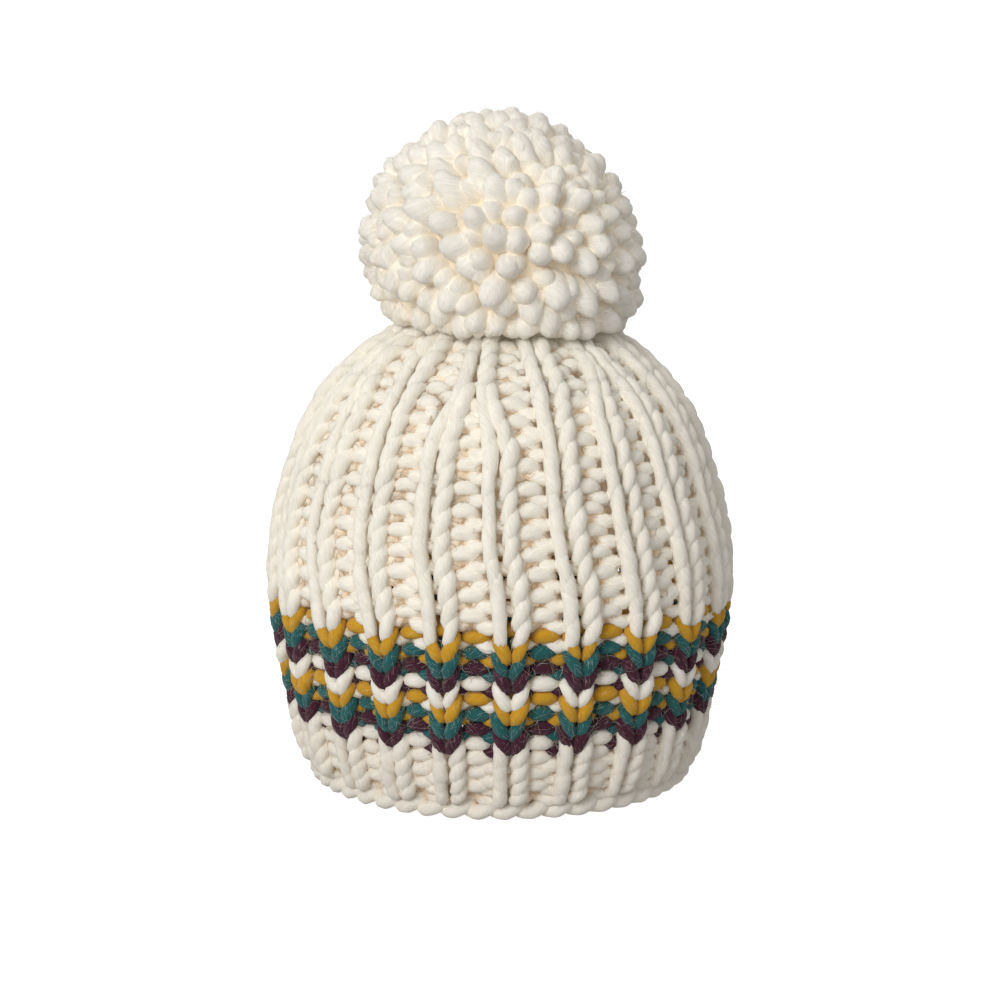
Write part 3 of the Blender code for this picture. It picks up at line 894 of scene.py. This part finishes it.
# %% Grow and lay them on every piece
FIBRES = [
    # knitted piece, wool, stray fibres, fibres in each gap, length (mm), rise (mm)
    ("hem", "cream", 350, 3, 5, 0.9), ("cream_middle_stripe", "cream", 160, 3, 5, 0.9),
    ("body", "cream", 1000, 5, 5, 0.9), ("crown_ribs", "cream", 600, 5, 5, 0.9),
    ("crown_front_merge", "cream", 200, 4, 5, 0.9),
    ("plum_lower_stripe", "plum", 620, 4, 7, 1.5), ("teal_lower_stripe", "teal", 620, 4, 7, 1.5),
    ("gold_lower_stripe", "gold", 460, 4, 7, 1.5), ("plum_upper_stripe", "plum", 620, 4, 7, 1.5),
    ("teal_upper_stripe", "teal", 620, 4, 7, 1.5), ("gold_upper_stripe", "gold", 460, 4, 7, 1.5),
]
# The gap colour is painted shade: over cream wool, the fibres across the gaps are brown because the gaps lie
# in shade.
FIBRE_COLOURS = {
    "cream": (0.84, 0.76, 0.63), "gap": (0.60, 0.44, 0.30), "gold": (0.78, 0.6, 0.28),
    "teal": (0.55, 0.6, 0.53), "plum": (0.56, 0.46, 0.43),
}
FIBRE_WOOLS = {name: wool(name + "_fibre", colour, colour, colour, soak=0.0)
               for name, colour in FIBRE_COLOURS.items()}
for index, (name, colour, strays, each, length, rise) in enumerate(FIBRES):
    node = "crown" if name.startswith("crown") else name
    seed = 300 + 2 * index
    stray = stray_fibres(name + "_fibres", YARNS[name], strays, length * MM, rise * MM, seed)
    dress(stray, [node], FIBRE_WOOLS[colour])
    webs = gap_webs(name, each, WEB_LENGTH, seed + 1)
    # Over cream wool the fibres in the gaps take the brown gap colour, a painted shade.
    dress(webs, [node], FIBRE_WOOLS["gap" if colour == "cream" else colour])
POMPOM_FIBRES, POMPOM_FIBRE_LENGTH, POMPOM_FIBRE_RISE = 5200, 4.5 * MM, 0.9 * MM
fibres = stray_fibres("pompom_fibres", YARNS["pompom"], POMPOM_FIBRES, POMPOM_FIBRE_LENGTH,
                      POMPOM_FIBRE_RISE, 400)
dress(fibres, ["pompom"], FIBRE_WOOLS["cream"])

# %% [markdown]
# ## Floor, light and camera
# The hat stands on a plain pale floor that shines by itself, so that it looks like a white sweep
# without a shadow. Under the hat a dark shadow is painted into its glow, or it would show as white
# dots through the knitting.

# %% The floor
FLOOR_SIZE = 60.0
# the painted shadow under the hat is full inside the first radius and gone past the second
PAINTED_SHADOW_FULL, PAINTED_SHADOW_ENDS = FULL_RADIUS * 0.62, FULL_RADIUS * 0.78
FLOOR_CORNERS = [(x * FLOOR_SIZE, y * FLOOR_SIZE, 0) for x, y in ((-1, -1), (1, -1), (1, 1), (-1, 1))]
floor_mesh = bpy.data.meshes.new("floor")
floor_mesh.from_pydata(FLOOR_CORNERS, [], [(0, 1, 2, 3)])
floor = bpy.data.objects.new("floor", floor_mesh)
bpy.context.scene.collection.objects.link(floor)
floor_material, floor_shader, floor_surface = new_material("pale_floor")
grain = floor_shader.node("ShaderNodeTexNoise", None, {"Scale": 40.0, "Detail": 4.0})["Fac"]
floor_shader.feed(floor_surface.inputs["Roughness"], 0.6 + grain * 0.2)
floor_surface.inputs["Base Color"].default_value = (0.5, 0.5, 0.5, 1)
floor_surface.inputs["Specular IOR Level"].default_value = 0.0
place = floor_shader.node("ShaderNodeTexCoord")["Object"]
from_middle = floor_shader.node("ShaderNodeVectorMath", {"operation": "LENGTH"}, [place])["Value"]
# Painted shadow: the floor's glow fades to near black under the hat.
past_painted_shadow = from_middle.step(PAINTED_SHADOW_FULL, PAINTED_SHADOW_ENDS)
glow_and_painted_shadow = floor_shader.mix(past_painted_shadow, (0.02, 0.015, 0.01, 1), (1, 1, 1, 1))
floor_shader.feed(floor_surface.inputs["Emission Color"], glow_and_painted_shadow)
floor_surface.inputs["Emission Strength"].default_value = 0.85
floor_mesh.materials.append(floor_material)
# The floor is bright enough to look like a white sweep, but the hat isn't lit by it from below.
floor.visible_diffuse = False
floor.visible_glossy = False

# %% [markdown]
# ## Soft light
# A bright room lights the hat from all round, a little more from above and a little less from the
# right. One large lamp stands in front at the left and shapes the ribs, and a weak one behind lights
# the back. The room would look grey behind the hat, so rays straight from the camera see it white.

# %% The light
world = bpy.data.worlds.new("studio")
bpy.context.scene.world = world
world.use_nodes = True
room = Shader(world.node_tree)
seen = room.node("ShaderNodeLightPath")["Is Camera Ray"]
facing = room.node("ShaderNodeTexCoord")["Generated"]
height = room.node("ShaderNodeSeparateXYZ", None, [facing])["Z"]
rightward = room.node("ShaderNodeSeparateXYZ", None, [facing])["X"]
room_light = (0.49 + 0.13 * height.step(-0.5, 0.5)) * (1 - 0.22 * rightward.step(0.0, 0.9))
backdrop = world.node_tree.nodes["Background"]
backdrop.inputs["Color"].default_value = (1, 1, 1, 1)
room.feed(backdrop.inputs["Strength"], seen * 1.05 + (1 - seen) * room_light)

LAMPS_AIM = Vector((0, 0, 0.13))
LAMPS = [
    # name, place, size, watts, colour
    ("back_light", (0.5, 1.5, 1.1), 1.2, 6, (1, 0.99, 0.98)),
    ("key_light", (-0.80, -1.52, 0.96), 0.9, 19.5, (1, 0.99, 0.97)),
]
for name, place, size, watts, colour in LAMPS:
    lamp = bpy.data.lights.new(name, "AREA")
    lamp.shape, lamp.size, lamp.energy, lamp.color = "DISK", size, watts, colour
    holder = bpy.data.objects.new(name, lamp)
    holder.location = place
    holder.rotation_euler = (LAMPS_AIM - Vector(place)).to_track_quat("-Z", "Y").to_euler()
    bpy.context.scene.collection.objects.link(holder)

# %% [markdown]
# ## Camera
# The camera looks slightly down on the hat with a long lens, so that its shape is hardly distorted.

# %% The camera
CAMERA_PLACE = Vector((0, -1.2, 0.3367))
CAMERA_TARGET = Vector((0, 0, 0.1219))
eye = bpy.data.cameras.new("camera")
eye.lens, eye.sensor_width = 99.43, 36
camera = bpy.data.objects.new("camera", eye)
camera.location = CAMERA_PLACE
camera.rotation_euler = (CAMERA_TARGET - CAMERA_PLACE).to_track_quat("-Z", "Y").to_euler()
bpy.context.scene.collection.objects.link(camera)
bpy.context.scene.camera = camera
bpy.context.scene.view_settings.view_transform = "Standard"

# %% Count the triangles and finish
print(f"{sum(TRIANGLES)} triangles in all, {max(TRIANGLES)} in the largest piece")
